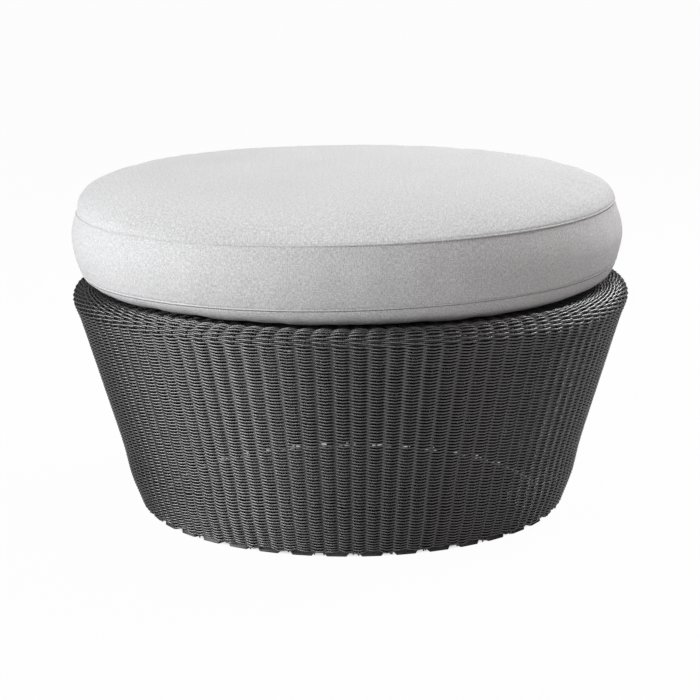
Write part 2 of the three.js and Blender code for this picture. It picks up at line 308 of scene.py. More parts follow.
def settle(piece):
    """Puts a piece's place into its mesh, so that its object sits at the origin."""
    make_active(piece)
    bpy.ops.object.transform_apply(location=True, rotation=True, scale=True)


def finish_piece(piece, body, material, replaced=(), smooth_angle=None):
    """Gives a piece its finish, its body and the frame nodes that it stands for."""
    settle(piece)
    if smooth_angle is None:
        bpy.ops.object.shade_smooth()
    else:
        bpy.ops.object.shade_smooth_by_angle(angle=math.radians(smooth_angle))
    piece.data.materials.clear()
    piece.data.materials.append(material)
    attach(piece, body)
    if replaced:
        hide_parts(*replaced)


def strands(name, paths, diameter, closed=False, sides=6):
    """Round strands along rows of points: bevelled curves that become one mesh."""
    curve = bpy.data.curves.new(name, "CURVE")
    curve.dimensions = "3D"
    curve.bevel_depth = diameter / 2
    curve.bevel_resolution = sides // 2 - 2
    curve.use_fill_caps = not closed
    for path in paths:
        spline = curve.splines.new("POLY")
        spline.points.add(len(path) - 1)
        rows = np.hstack([path, np.ones((len(path), 1))]).astype(np.float32)
        spline.points.foreach_set("co", rows.ravel())
        spline.use_cyclic_u = closed
    make_active(add_object(name, curve))
    bpy.ops.object.convert(target="MESH")
    return named_active(name)


def out_and_along(turn):
    """Flat directions away from the stool's axis and along its round, at a turn."""
    return np.array([math.sin(turn), -math.cos(turn), 0]), np.array([math.cos(turn), math.sin(turn), 0])


def around(radius, height, turn):
    """Points at turns round the stool, counted from the front towards the right."""
    return np.stack([radius * np.sin(turn), -radius * np.cos(turn), height], -1)


def spun(name, outline, steps=256, centre_x=0.0, start=0.0, sweep=TURN):
    """Spins an outline of (radius, height) points round the upright axis."""
    mesh = bpy.data.meshes.new(name)
    corners = around(*np.array(outline, float).T, np.full(len(outline), start))
    corners[:, 0] += centre_x
    edges = [(index, index + 1) for index in range(len(outline) - 1)]
    mesh.from_pydata(corners.tolist(), edges, [])
    piece = add_object(name, mesh)
    edit_all(piece)
    bpy.ops.mesh.spin(steps=steps, angle=-sweep, center=(centre_x, 0, 0), axis=(0, 0, 1))
    bpy.ops.mesh.select_all(action="SELECT")
    bpy.ops.mesh.remove_doubles(threshold=0.02 * MM)
    close_outwards()
    return piece


# Finishes

# Numbers of the mixing node's first colour input and colour output
MIX_FIRST_COLOUR = 6
MIX_COLOUR_OUT = 2


def shade(colour, factor):
    """A colour made lighter or darker."""
    return tuple(min(1.0, factor * part) for part in colour[:3])


def add_node(tree, kind, output, sockets, **settings):
    """Adds a node, sets or joins its sockets by name or number, and gives one of its outputs."""
    made = tree.nodes.new(kind)
    for key, value in settings.items():
        setattr(made, key, value)
    for key, value in sockets.items():
        if isinstance(value, bpy.types.NodeSocket):
            tree.links.new(value, made.inputs[key])
        else:
            made.inputs[key].default_value = value
    return made.outputs[output]


class Finish:
    """A material's nodes, with short calls for the kinds that the finishes share."""

    def __init__(self, name):
        self.material = bpy.data.materials.new(name)
        self.material.use_nodes = True
        self.tree = self.material.node_tree
        self.surface = self.tree.nodes["Principled BSDF"]
        self.place = self.add("ShaderNodeTexCoord", "Object", {})

    def add(self, kind, output, sockets, **settings):
        """Adds a node to the material."""
        return add_node(self.tree, kind, output, sockets, **settings)

    def feed(self, source, name):
        """Joins an output to one of the shader's own sockets."""
        self.tree.links.new(source, self.surface.inputs[name])

    def set(self, **values):
        """Sets the shader's own sockets, such as Roughness, by name."""
        for key, value in values.items():
            self.surface.inputs[key.replace("_", " ")].default_value = value

    def noise(self, scale, source=None, stretch=None, detail=2.0, roughness=0.5):
        """A noise pattern, scaled in turns per metre."""
        source = source or self.place
        if stretch is not None:
            source = self.add("ShaderNodeMapping", "Vector", {"Vector": source, "Scale": stretch})
        sockets = {"Vector": source, "Scale": scale, "Detail": detail, "Roughness": roughness}
        return self.add("ShaderNodeTexNoise", "Fac", sockets)

    def tones(self, value, colour, low, high, stops=(0.3, 0.7)):
        """A run from a darker to a lighter tone of a colour."""
        run = self.add("ShaderNodeValToRGB", "Color", {"Fac": value})
        for element, place, factor in zip(run.node.color_ramp.elements, stops, (low, high)):
            element.position = place
            element.color = (*shade(colour, factor), 1)
        return run

    def math(self, operation, first, second):
        """Sum, product and the like of two values."""
        return self.add("ShaderNodeMath", "Value", {0: first, 1: second}, operation=operation)

    def span(self, value, low, high):
        """Maps a 0 to 1 pattern to a range."""
        sockets = {"Value": value, "From Min": 0.25, "From Max": 0.75, "To Min": low, "To Max": high}
        return self.add("ShaderNodeMapRange", "Result", sockets)

    def mix(self, factor, first, second, blend="MIX"):
        """Mixes two colours."""
        sockets = {0: factor, MIX_FIRST_COLOUR: first, MIX_FIRST_COLOUR + 1: second}
        return self.add("ShaderNodeMix", MIX_COLOUR_OUT, sockets, data_type="RGBA", blend_type=blend)

    def bump(self, height, distance, strength=1.0):
        """Raises the surface by a pattern, in metres."""
        sockets = {"Height": height, "Distance": distance, "Strength": strength}
        self.feed(self.add("ShaderNodeBump", "Normal", sockets), "Normal")


def strand_finish(name, colour, roughness, shine=1.0):
    """Extruded strand: glossy, with a fine grain and a little change from stretch to stretch."""
    finish = Finish(name)
    patches = finish.noise(38, detail=1)
    grain = finish.noise(900, detail=3, roughness=0.6)
    broad = finish.tones(patches, colour, 0.86, 1.14)
    colour_out = finish.mix(0.3, broad, finish.tones(grain, colour, 0.7, 1.3))
    finish.feed(colour_out, "Base Color")
    finish.feed(finish.span(grain, roughness - 0.04, roughness + 0.05), "Roughness")
    finish.set(Specular_IOR_Level=shine, IOR=1.76)
    finish.bump(finish.noise(700, detail=2), 0.01 * MM, 0.5)
    return finish.material


def powder_coat_finish(colour):
    """Powder coat on aluminium: fine orange peel under a satin film."""
    finish = Finish("powder_coat")
    peel = finish.noise(1100, detail=2)
    patches = finish.noise(14, detail=2)
    broad = finish.tones(patches, colour, 0.9, 1.12)
    finish.feed(broad, "Base Color")
    finish.feed(finish.span(peel, 0.36, 0.5), "Roughness")
    finish.bump(peel, 0.08 * MM, 0.6)
    return finish.material


def cover_finish(colour):
    """Woven outdoor cloth in mixed light and grey yarns, laid along the piece's own UV map."""
    finish = Finish("cover_cloth")
    threads = finish.add("ShaderNodeUVMap", "UV", {}, uv_map="threads")
    upright = finish.noise(1.0, threads, (680, 240, 1), detail=2, roughness=0.6)
    across = finish.noise(1.0, threads, (240, 680, 1), detail=2, roughness=0.6)
    flecks = finish.noise(780, threads, detail=3, roughness=0.75)
    slubs = finish.noise(1.0, threads, (240, 70, 1), detail=1)
    clouds = finish.noise(9, detail=3)
    yarn = finish.math("ADD", finish.math("MULTIPLY", upright, 0.6), finish.math("MULTIPLY", across, 0.4))
    mixed = finish.math("ADD", finish.math("MULTIPLY", yarn, 0.45), finish.math("MULTIPLY", flecks, 0.55))
    yarns = finish.tones(mixed, colour, 0.5, 1.45, (0.4, 0.6))
    thick = finish.tones(slubs, colour, 0.88, 1.08, (0.4, 0.6))
    tinted = finish.mix(0.25, yarns, thick)
    clouded = finish.tones(clouds, (1, 1, 1), 0.96, 1.0)
    finish.feed(finish.mix(1.0, tinted, clouded, "MULTIPLY"), "Base Color")
    finish.set(Roughness=0.95, Sheen_Weight=0.05, Sheen_Roughness=0.5, Specular_IOR_Level=0.2)
    bands = {"Vector": threads, "Scale": 220}
    ribs = [finish.add("ShaderNodeTexWave", "Fac", bands, bands_direction=way) for way in "XY"]
    weave = finish.math("MULTIPLY", *ribs)
    finish.bump(finish.math("ADD", weave, finish.math("MULTIPLY", mixed, 6.0)), 0.15 * MM, 0.9)
    return finish.material


def plain_cloth_finish(name, colour):
    """Tape and thread: plain cloth with a fine grain."""
    finish = Finish(name)
    grain = finish.noise(1400, detail=2)
    finish.feed(finish.tones(grain, colour, 0.75, 1.15), "Base Color")
    finish.set(Roughness=0.9, Sheen_Weight=0.2)
    finish.bump(grain, 0.1 * MM, 0.6)
    return finish.material


def moulded_finish(name, colour):
    """Moulded plastic with a fine grain."""
    finish = Finish(name)
    grain = finish.noise(700, detail=3)
    finish.feed(finish.tones(grain, colour, 0.85, 1.15), "Base Color")
    finish.feed(finish.span(grain, 0.38, 0.52), "Roughness")
    finish.bump(grain, 0.06 * MM, 0.5)
    return finish.material


# The line that the weave follows, from the foot over the rim and in to the deck's middle

# Points of a row's path from one stake to the next, and the crossings that one piece may have
STEPS_PER_STAKE = 4
CROSSINGS_PER_PIECE = 38 * 104
# Where the two bellies of the wall lie and fade, and how soon the arches over the pads fade
FOOT_BELLY_PLACE = 45 * MM
FOOT_BELLY_SPREAD = 32 * MM
RIM_BELLY_SPREAD = 16 * MM
ARCH_FADE = 9 * MM
# The deck's hole, the share of the rim at which stakes thin out and by how much, and their ends
DECK_HOLE = 26 * MM
STAKE_STAGES = ((1.0, 1), (0.56, 2), (0.27, 4))
STAKE_END = 20 * MM
STAKE_OVERRUN = 4 * MM
# Length of the stretch over the rim where the stakes bend and need more points
ROUNDED_LENGTH = 60 * MM


def weave_line():
    """Points of the weave's middle surface: radius, height and the way that it faces."""
    sizes = bpy.context.scene.footstool_weave
    half = WEAVE_THICKNESS / 2
    foot_to_rim = np.array([RIM_CENTRE - WALL_FOOT, RIM_HEIGHT - WALL_LOW])
    taper = math.asin(SHOULDER / np.linalg.norm(foot_to_rim)) + math.atan2(*foot_to_rim)
    bend = SHOULDER - half
    low = np.array([WALL_FOOT - half / math.cos(taper), WALL_LOW])
    rim = np.array([RIM_CENTRE, RIM_HEIGHT])
    shoulder_start = rim + bend * np.array([math.cos(taper), -math.sin(taper)])
    dish = sizes.dish_radius
    deck = DECK_TOP - half
    rise = deck + dish - RIM_HEIGHT
    dish_centre = rim + [-math.sqrt((bend + dish) ** 2 - rise**2), rise]
    meet = math.atan2(rise, dish_centre[0] - RIM_CENTRE)
    step = 0.5 * MM
    rows = []

    def straight(start, end, facing):
        count = int(np.linalg.norm(end - start) / step)
        for share in np.linspace(0, 1, count, endpoint=False):
            point = start + (end - start) * share
            rows.append((*point, math.cos(facing), math.sin(facing)))

    def arc(centre, radius, start, end, outward):
        count = int(abs(end - start) * radius / step)
        for angle in np.linspace(start, end, count, endpoint=False):
            facing = np.array([math.cos(angle), math.sin(angle)])
            rows.append((*(centre + radius * facing), *(outward * facing)))

    straight(low, shoulder_start, -taper)
    arc(rim, bend, -taper, meet, 1)
    arc(dish_centre, dish, meet - math.pi, -math.pi / 2, -1)
    straight(np.array([dish_centre[0], deck]), np.array([0.0, deck]), math.pi / 2)
    line = np.array(rows)
    along = np.concatenate([[0], np.cumsum(np.hypot(*np.diff(line[:, :2], axis=0).T))])
    wall = np.linalg.norm(shoulder_start - low)
    swell = sizes.foot_belly * np.exp(-(((along - FOOT_BELLY_PLACE) / FOOT_BELLY_SPREAD) ** 2))
    swell += sizes.rim_belly * np.exp(-(((along - wall) / RIM_BELLY_SPREAD) ** 2))
    line[:, :2] += line[:, 2:] * swell[:, None]
    return along, line


def line_at(along, line, distance):
    """Radius, height and facing at distances along the weave's line."""
    return [np.interp(distance, along, line[:, column]) for column in range(4)]


def pad_shape(turn):
    """How far a turn lies over a foot pad: 1 over it, 0 between pads."""
    return np.clip(0.5 + 1.1 * np.cos((turn - FIRST_PAD) * PADS), 0, 1)


def uneven(random, rows, columns, smooth):
    """Smooth random drift for each row and column, closed round the stool."""
    field = random.standard_normal((rows, columns))
    for _ in range(smooth):
        field = (field + np.roll(field, 1, 1) + np.roll(field, -1, 1)) / 3
        field[1:-1] = (field[1:-1] + field[:-2] + field[2:]) / 3
    return field / (field.std() + 1e-9)


def round_the_stool(values, column):
    """Values at the stakes, read between them, with the last joined to the first."""
    return np.interp(column, np.arange(len(values) + 1), np.append(values, values[0]))


def woven_rows(distances, first_row, columns, seed):
    """Paths of rows of strand that pass outside one stake and inside the next."""
    sizes = bpy.context.scene.footstool_weave
    along, line = weave_line()
    random = np.random.default_rng(seed)
    column = np.arange(columns * STEPS_PER_STAKE) / STEPS_PER_STAKE
    turn = (column + 0.5) * TURN / columns
    reach = (sizes.strand_diameter + sizes.stake_diameter) / 2
    drift = uneven(random, len(distances), columns, 2)
    lift = uneven(random, len(distances), columns, 1)
    pads = pad_shape(turn)
    paths = []
    for index, distance in enumerate(distances):
        side = np.cos(math.pi * (column + first_row + index))
        stray = round_the_stool(drift[index], column)
        bulge = round_the_stool(lift[index], column)
        over = np.exp(-(distance / ARCH_FADE) ** 1.5)
        place = distance - sizes.float_dip * side**2 + sizes.unevenness * stray
        place = place + sizes.pad_arch * over * (pads - 0.15)
        radius, height, facing_out, facing_up = line_at(along, line, np.clip(place, 0, along[-1]))
        offset = reach * side + 0.6 * sizes.unevenness * bulge
        paths.append(around(radius + offset * facing_out, height + offset * facing_up, turn))
    return paths


def shoulder_end():
    """Distance along the weave's line at which the rim has run down to the deck."""
    along, line = weave_line()
    flat = np.nonzero(line[:, 3] > 0.99999)[0]
    return float(along[flat[flat > len(line) // 4][0]])


def row_distances():
    """Distances of all rows along the weave's line, from the foot to the deck's middle."""
    sizes = bpy.context.scene.footstool_weave
    along, _ = weave_line()
    return np.arange(sizes.strand_diameter / 2, along[-1] - DECK_HOLE, sizes.row_spacing)


def deck_stages():
    """Radii at which every other stake of the deck ends, and the columns inside each."""
    columns = bpy.context.scene.footstool_weave.columns
    return [(share * RIM_CENTRE, columns // fewer) for share, fewer in STAKE_STAGES]


class FOOTSTOOL_OT_weave(bpy.types.Operator):
    """Weaves the rows of strand up the wall, over the rim and in across the deck"""

    bl_idname = "footstool.weave"
    bl_label = "Woven rows"

    def execute(self, context):
        sizes = context.scene.footstool_weave
        finish = strand_finish("woven_strand", context.scene.footstool_finishes.strand_colour, 0.3)
        distances = row_distances()
        along, line = weave_line()
        radii = line_at(along, line, distances)[0]
        deck_start = int(np.searchsorted(distances, shoulder_end()))
        stages = deck_stages()
        limits = [radius for radius, _ in stages[1:]] + [0.0]
        spans = [(0, deck_start, sizes.columns, "wall")]
        start = deck_start
        for limit, (_, columns) in zip(limits, stages):
            end = int(np.count_nonzero(radii > limit))
            spans.append((start, max(end, start), columns, "deck"))
            start = max(end, start)
        names = {"wall": 0, "deck": 0}
        for seed, (start, end, columns, part) in enumerate(spans):
            pieces = math.ceil((end - start) * columns / CROSSINGS_PER_PIECE)
            for chunk in np.array_split(np.arange(start, end), pieces):
                paths = woven_rows(distances[chunk], int(chunk[0]), columns, 31 * seed + names[part])
                names[part] += 1
                name = f"{part}_rows_{names[part]}"
                piece = strands(name, paths, sizes.strand_diameter, closed=True)
                replaced = (f"woven_{part}",) if names[part] == 1 else ()
                finish_piece(piece, "base", finish, replaced)
        return {"FINISHED"}


class FOOTSTOOL_OT_stakes(bpy.types.Operator):
    """Stands the stakes in the wall, bends them over the rim and runs them in through the deck's rows"""

    bl_idname = "footstool.stakes"
    bl_label = "Stakes"

    def execute(self, context):
        sizes = context.scene.footstool_weave
        # The stakes are coloured at 0.6 of the strand as painted shade: it darkens the gaps between the
        # rows, where the stakes show.
        colour = shade(context.scene.footstool_finishes.strand_colour, 0.6)
        finish = strand_finish("stake_strand_painted_shade", colour, 0.5, 0.3)
        along, line = weave_line()
        stages = deck_stages()
        ends = [radius for radius, _ in stages[1:]] + [STAKE_END]
        shoulder = shoulder_end()
        paths = []
        for column in range(sizes.columns):
            keep = 2 if column % 4 == 1 else 1 if column % 2 else 0
            stop = float(along[-1] - ends[keep] + STAKE_OVERRUN)
            wall = np.linspace(0, shoulder - ROUNDED_LENGTH, 12, endpoint=False)
            rim = np.linspace(shoulder - ROUNDED_LENGTH, shoulder, 24, endpoint=False)
            deck = np.linspace(shoulder, stop, 6)
            radius, height, _, _ = line_at(along, line, np.concatenate([wall, rim, deck]))
            turn = np.full(len(radius), (column + 0.5) * TURN / sizes.columns)
            paths.append(around(radius, height, turn))
        piece = strands("stakes", paths, sizes.stake_diameter)
        finish_piece(piece, "base", finish)
        return {"FINISHED"}


class FOOTSTOOL_OT_foot_binding(bpy.types.Operator):
    """Rounds the strap and pads of the foot binding, and trims the strand ends between the pads"""

    bl_idname = "footstool.foot_binding"
    bl_label = "Foot binding"

    def execute(self, context):
        colours = context.scene.footstool_finishes
        finish = strand_finish("foot_strap", colours.strap_colour, 0.45, 0.35)
        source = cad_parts["foot_binding"]
        deselect_all()
        piece = source.copy()
        piece.data = source.data.copy()
        piece.parent = None
        for key in list(piece.keys()):
            del piece[key]
        context.scene.collection.objects.link(piece)
        edit_all(piece)
        named_active("foot_strap")
        bpy.ops.mesh.remove_doubles(threshold=0.01 * MM)
        bpy.ops.mesh.tris_convert_to_quads(face_threshold=math.radians(8), shape_threshold=math.radians(60))
        bpy.ops.mesh.select_all(action="SELECT")
        bpy.ops.mesh.bisect(plane_co=(0, 0, PAD_TOP), plane_no=(0, 0, 1), threshold=0.01 * MM)
        bpy.ops.object.mode_set(mode="OBJECT")
        self.shape_pads(piece)
        limit = {"limit_method": "ANGLE", "angle_limit": math.radians(25)}
        apply_modifier(piece, "BEVEL", width=0.5 * MM, segments=2, **limit)
        finish_piece(piece, "base", finish, ("foot_binding",), smooth_angle=35)
        self.strand_ends(context)
        return {"FINISHED"}

    def shape_pads(self, piece):
        """Widens the pads along the ring, and leans their outer faces out below the weave."""
        points = mesh_points(piece)
        turn = np.arctan2(points[:, 0], -points[:, 1])
        radius = np.hypot(points[:, 0], points[:, 1])
        off = (turn - FIRST_PAD + PAD_PITCH / 2) % PAD_PITCH - PAD_PITCH / 2
        outer = radius > radius.max() - 1 * MM
        lean = PAD_LEAN * np.clip(1 - points[:, 2] / PAD_TOP, 0, 1) * outer
        set_mesh_points(piece, around(radius + lean, points[:, 2], turn + (PAD_WIDENING - 1) * off))

    def strand_ends(self, context):
        """Short cut ends that stick out under the weave between the pads."""
        sizes = context.scene.footstool_weave
        random = np.random.default_rng(7)
        paths = []
        for gap in range(PADS):
            middle = FIRST_GAP + gap * PAD_PITCH
            for _ in range(random.integers(1, 4)):
                turn = middle + random.uniform(-0.9, 0.9) * math.radians(1.4)
                radius = WALL_FOOT - random.uniform(1.0, 3.5) * MM
                top = WALL_LOW + 2.5 * MM
                low = WALL_LOW - random.uniform(1.6, 3.8) * MM
                lean = random.uniform(-0.006, 0.006)
                turns = np.array([turn, turn + lean / 2, turn + lean])
                radii = np.array([radius, radius - 0.3 * MM, radius - 0.8 * MM])
                paths.append(around(radii, np.linspace(top, low, 3), turns))
        colour = context.scene.footstool_finishes.strand_colour
        finish = strand_finish("cut_ends", colour, 0.5)
        piece = strands("strand_ends", paths, sizes.stake_diameter)
        finish_piece(piece, "base", finish, smooth_angle=50)


# A weld bead's thickness, the turns of its points, its ripple, and the rim's own butt weld
BEAD_DIAMETER = 2.6 * MM
BEAD_ROUND = np.linspace(0, TURN, 40, endpoint=False)
BEAD_RIPPLE = 0.25 * MM * np.cos(13 * BEAD_ROUND)
RIM_BUTT_TURN = math.radians(200)


class FOOTSTOOL_OT_tubes(bpy.types.Operator):
    """Rounds the frame's rings, struts and deck bars, with a weld bead where they meet"""

    bl_idname = "footstool.tubes"
    bl_label = "Frame tubes"

    def execute(self, context):
        finish = powder_coat_finish(context.scene.footstool_finishes.tube_colour)
        self.rim_ring(finish)
        self.foot_ring(finish)
        self.struts(finish)
        self.deck_bars(finish)
        self.weld_beads(finish)
        return {"FINISHED"}

    def rim_ring(self, finish):
        deselect_all()
        bpy.ops.mesh.primitive_torus_add(
            location=(0, 0, RIM_HEIGHT),
            major_radius=RIM_CENTRE,
            minor_radius=RIM_TUBE_RADIUS,
            major_segments=208,
            minor_segments=20,
        )
        finish_piece(named_active("rim_tube"), "base", finish, ("rim_tube_ring",))

    def foot_ring(self, finish):
        low, high = FOOT_TUBE_LOW, FOOT_TUBE_TOP
        inner, outer = float(FOOT_TUBE_RADII.min()), float(FOOT_TUBE_RADII.max())
        corner = 3 * MM
        outline = []
        corners = (
            (outer, low, -1, 1, -90),
            (outer, high, -1, -1, 0),
            (inner, high, 1, -1, 90),
            (inner, low, 1, 1, 180),
        )
        for radius, height, inward, upward, start in corners:
            for step in range(5):
                angle = math.radians(start + 22.5 * step)
                across = radius + corner * (inward + math.cos(angle))
                outline.append((across, height + corner * (upward + math.sin(angle))))
        outline.append(outline[0])
        piece = spun("foot_tube", outline, 208)
        finish_piece(piece, "base", finish, ("foot_tube_ring",), smooth_angle=40)

    def straight_tube(self, name, start, end, diameter):
        """A tube between two points, with its bore open at both ends."""
        start, end = Vector(start), Vector(end)
        direction = (end - start).normalized()
        deselect_all()
        bpy.ops.mesh.primitive_cylinder_add(
            vertices=28,
            radius=diameter / 2,
            depth=(end - start).length,
            location=(start + end) / 2,
            rotation=direction.to_track_quat("Z", "Y").to_euler(),
        )
        piece = named_active(name)
        settle(piece)
        for outward in (direction, -direction):
            bpy.ops.object.mode_set(mode="EDIT")
            bpy.ops.mesh.select_mode(type="FACE")
            bpy.ops.mesh.select_all(action="DESELECT")
            bpy.ops.object.mode_set(mode="OBJECT")
            for face in piece.data.polygons:
                face.select = face.normal.dot(outward) > 0.99
            bpy.ops.object.mode_set(mode="EDIT")
            bpy.ops.mesh.inset(thickness=1.5 * MM)
            bpy.ops.mesh.extrude_region_move(TRANSFORM_OT_translate={"value": -12 * MM * outward})
            bpy.ops.mesh.select_mode(type="VERT")
            bpy.ops.object.mode_set(mode="OBJECT")
        return piece

    def struts(self, finish):
        """Each strut runs straight from ring to ring, and its ends lie inside them."""
        levels = np.array([FOOT_TUBE_TOP - 2 * MM, RIM_HEIGHT])
        ends = around(np.array([FOOT_TUBE_MIDDLE, RIM_CENTRE]), levels, 0.0)
        first = self.straight_tube("round_strut", *ends, STRUT_DIAMETER)
        for number in range(1, STRUTS + 1):
            piece = add_object(f"round_strut_{number}", first.data.copy())
            piece.data.name = piece.name
            piece.rotation_euler.z = TURN * (number - 0.5) / STRUTS
            finish_piece(piece, "base", finish, (f"strut_{number}",), smooth_angle=40)
        bpy.data.objects.remove(first)

    def deck_bars(self, finish):
        ends = {
            "deck_bar_long": ((-RIM_CENTRE, 0), (RIM_CENTRE, 0)),
            "deck_bar_front": ((0, 0), (0, -RIM_CENTRE)),
            "deck_bar_back": ((0, 0), (0, RIM_CENTRE)),
        }
        for node, (start, end) in ends.items():
            name = node.replace("deck", "round_deck")
            piece = self.straight_tube(name, (*start, BAR_HEIGHT), (*end, BAR_HEIGHT), BAR_DIAMETER)
            finish_piece(piece, "base", finish, (node,), smooth_angle=40)
        for quarter, name in enumerate(("front_right", "back_right", "back_left", "front_left")):
            turn = np.linspace(quarter, quarter + 1, 40) * TURN / 4
            path = around(np.full(40, ARC_RADIUS), np.full(40, ARC_HEIGHT), turn)
            piece = strands(f"round_deck_arc_{name}", [path], ARC_DIAMETER, sides=20)
            finish_piece(piece, "base", finish, (f"deck_arc_{name}",), smooth_angle=40)

    def bead(self, centre, branch, main, branch_diameter, main_diameter, raised=0.0):
        """The line round a branch tube where it meets a main tube that its axis runs into or over."""
        centre, branch, main = (np.array(vector, float) for vector in (centre, branch, main))
        side = np.cross(branch, main)
        side *= 1 if side[2] > 0 else -1
        lift = branch_diameter / 2 * np.cos(BEAD_ROUND)
        away = np.sqrt(np.maximum((main_diameter / 2) ** 2 - (lift + raised) ** 2, 0))
        away = away + 0.4 * MM + BEAD_RIPPLE
        spread = branch_diameter / 2 * np.sin(BEAD_ROUND)
        return centre + away[:, None] * branch + lift[:, None] * side + spread[:, None] * main

    def weld_beads(self, finish):
        """A rippled bead round every joint of the frame."""
        rim_diameter = 2 * RIM_TUBE_RADIUS
        radii, levels = np.array([[FOOT_TUBE_MIDDLE, RIM_CENTRE], [FOOT_TUBE_TOP, RIM_HEIGHT]])
        paths = []
        for number in range(STRUTS):
            turn = TURN * (number + 0.5) / STRUTS
            low, high = around(radii, levels, turn)
            down = (low - high) / np.linalg.norm(low - high)
            _, along = out_and_along(turn)
            paths.append(self.bead(high, down, along, STRUT_DIAMETER, rim_diameter))
            flat = self.bead(low, -down, along, STRUT_DIAMETER, STRUT_DIAMETER)
            flat -= ((flat[:, 2] - FOOT_TUBE_TOP - 0.3 * MM) / down[2])[:, None] * down
            paths.append(flat)
        for quarter in range(4):
            out, along = out_and_along(TURN * quarter / 4)
            end = out * RIM_CENTRE + [0, 0, BAR_HEIGHT]
            paths.append(self.bead(end, -out, along, BAR_DIAMETER, rim_diameter))
            if quarter % 2 == 0:
                paths.append(self.bead((0, 0, BAR_HEIGHT), out, along, BAR_DIAMETER, BAR_DIAMETER))
            crossing = out * ARC_RADIUS + [0, 0, ARC_HEIGHT]
            raised = ARC_HEIGHT - BAR_HEIGHT
            for side in (-1, 1):
                paths.append(self.bead(crossing, side * along, out, ARC_DIAMETER, BAR_DIAMETER, raised))
        around_tube = RIM_TUBE_RADIUS + 0.3 * MM + BEAD_RIPPLE
        radius = RIM_CENTRE + around_tube * np.cos(BEAD_ROUND)
        height = RIM_HEIGHT + around_tube * np.sin(BEAD_ROUND)
        paths.append(around(radius, height, np.full(len(radius), RIM_BUTT_TURN)))
        piece = strands("weld_beads", paths, BEAD_DIAMETER, closed=True, sides=8)
        finish_piece(piece, "base", finish)


# The cushion's cover

# How the cover is filled: frames, pressure, the furthest that a point may move, inset and grid
FILL_STEPS = 20
FILL_PRESSURE = 4
FILL_CAP = 5 * MM
COVER_INSET = 3 * MM
COVER_GRID = 6 * MM
# Distances from the axis beyond which a point counts as beside a seam, and as the cushion's side
NEAR_SEAM = 0.9 * SEAM_REACH
SIDE_START = 0.86 * SEAM_REACH
# Tucks beside the seams, waves in the band and slow swells all over
TUCK_HEIGHT = 0.07 * MM
TUCK_LENGTH = 10 * MM
BAND_WAVES = 8
SLOW_SWELLS = 6
SWELL_HEIGHT = 0.3 * MM
# How far past the zip's ends the band is held in, in radians
ZIP_MARGIN = 0.015


def seam_height(points, level):
    """Height of a seam at each point: it climbs a little towards the right."""
    skew = bpy.context.scene.footstool_cushion.seam_skew
    return level + skew * (points[:, 0] - CUSHION_X) / SEAM_REACH


def cushion_outline(inset=0.0):
    """The cover's outline from the middle of the underside to the middle of the top."""
    sizes = bpy.context.scene.footstool_cushion
    reach = SEAM_REACH - inset
    low = UNDERSIDE + inset
    outline = [(radius, low) for radius in np.linspace(0, UNDERSIDE_FLAT, 40)]
    for angle in np.linspace(0, math.pi / 2, 12)[1:]:
        radius = UNDERSIDE_FLAT + (reach - UNDERSIDE_FLAT) * math.sin(angle)
        outline.append((radius, LOWER_SEAM - (LOWER_SEAM - low) * math.cos(angle)))
    bulge = CUSHION_REACH - SEAM_REACH
    for share in np.linspace(0, 1, 18)[1:-1]:
        radius = reach + bulge * math.sin(math.pi * share)
        outline.append((radius, LOWER_SEAM + (UPPER_SEAM - LOWER_SEAM) * share))
    crown = CUSHION_TOP - UPPER_SEAM - inset
    for angle in np.linspace(math.pi / 2, 0, 60):
        share = math.sin(angle)
        rise = crown * (1 - share**sizes.crown_flatness) ** (1 / sizes.crown_shoulder)
        outline.append((reach * share, UPPER_SEAM + rise))
    return outline


def cushion_radii(points):
    """Distance of each point from the cushion's own upright axis."""
    return np.hypot(points[:, 0] - CUSHION_X, points[:, 1])


def cushion_turns(points):
    """Turn of each point round the cushion's axis, counted from the front towards the right."""
    return np.arctan2(points[:, 0] - CUSHION_X, -points[:, 1])


def inflate(piece, cap):
    """Fills the cover by cloth simulation, and lets no point move further than the cap."""
    make_active(piece)
    start = mesh_points(piece)
    bpy.ops.object.modifier_add(type="CLOTH")
    cloth = piece.modifiers[-1]
    cloth.settings.quality = 5
    cloth.settings.use_pressure = True
    cloth.settings.uniform_pressure_force = FILL_PRESSURE
    cloth.settings.effector_weights.gravity = 0
    cloth.point_cache.frame_start = 1
    cloth.point_cache.frame_end = FILL_STEPS
    for moment in range(1, FILL_STEPS + 1):
        bpy.context.scene.frame_set(moment)
    view = piece.evaluated_get(bpy.context.evaluated_depsgraph_get())
    move = vertex_rows(view.data) - start
    bpy.ops.object.modifier_remove(modifier=cloth.name)
    bpy.context.scene.frame_set(1)
    length = np.linalg.norm(move, axis=1, keepdims=True)
    move = move * np.minimum(1, cap / np.maximum(length, 1e-9))
    set_mesh_points(piece, start + move)


def from_middle(radii, levels):
    """Angle and distance from the cushion's middle, with its height stretched to its reach."""
    middle = (UNDERSIDE + CUSHION_TOP) / 2
    tall = (levels - middle) * CUSHION_REACH / (CUSHION_TOP - middle)
    return np.arctan2(tall, radii), np.hypot(radii, tall)


def hold_outline(piece):
    """Brings the filled cover back to its measured outline, and keeps its swells and dips."""
    points = mesh_points(piece)
    angle, distance = from_middle(cushion_radii(points), points[:, 2])
    bins = 90
    place = np.clip(((angle / math.pi + 0.5) * bins).astype(int), 0, bins - 1)
    held = np.bincount(place, minlength=bins)
    mean = np.bincount(place, distance, bins) / np.maximum(held, 1)
    centres = ((np.arange(bins) + 0.5) / bins - 0.5) * math.pi
    wanted_angle, wanted = from_middle(*np.array(cushion_outline()).T)
    grow = np.interp(centres, wanted_angle, wanted) / mean
    grow = np.interp(angle, centres, grow)[:, None]
    middle = np.array([CUSHION_X, 0, (UNDERSIDE + CUSHION_TOP) / 2])
    set_mesh_points(piece, middle + (points - middle) * grow)


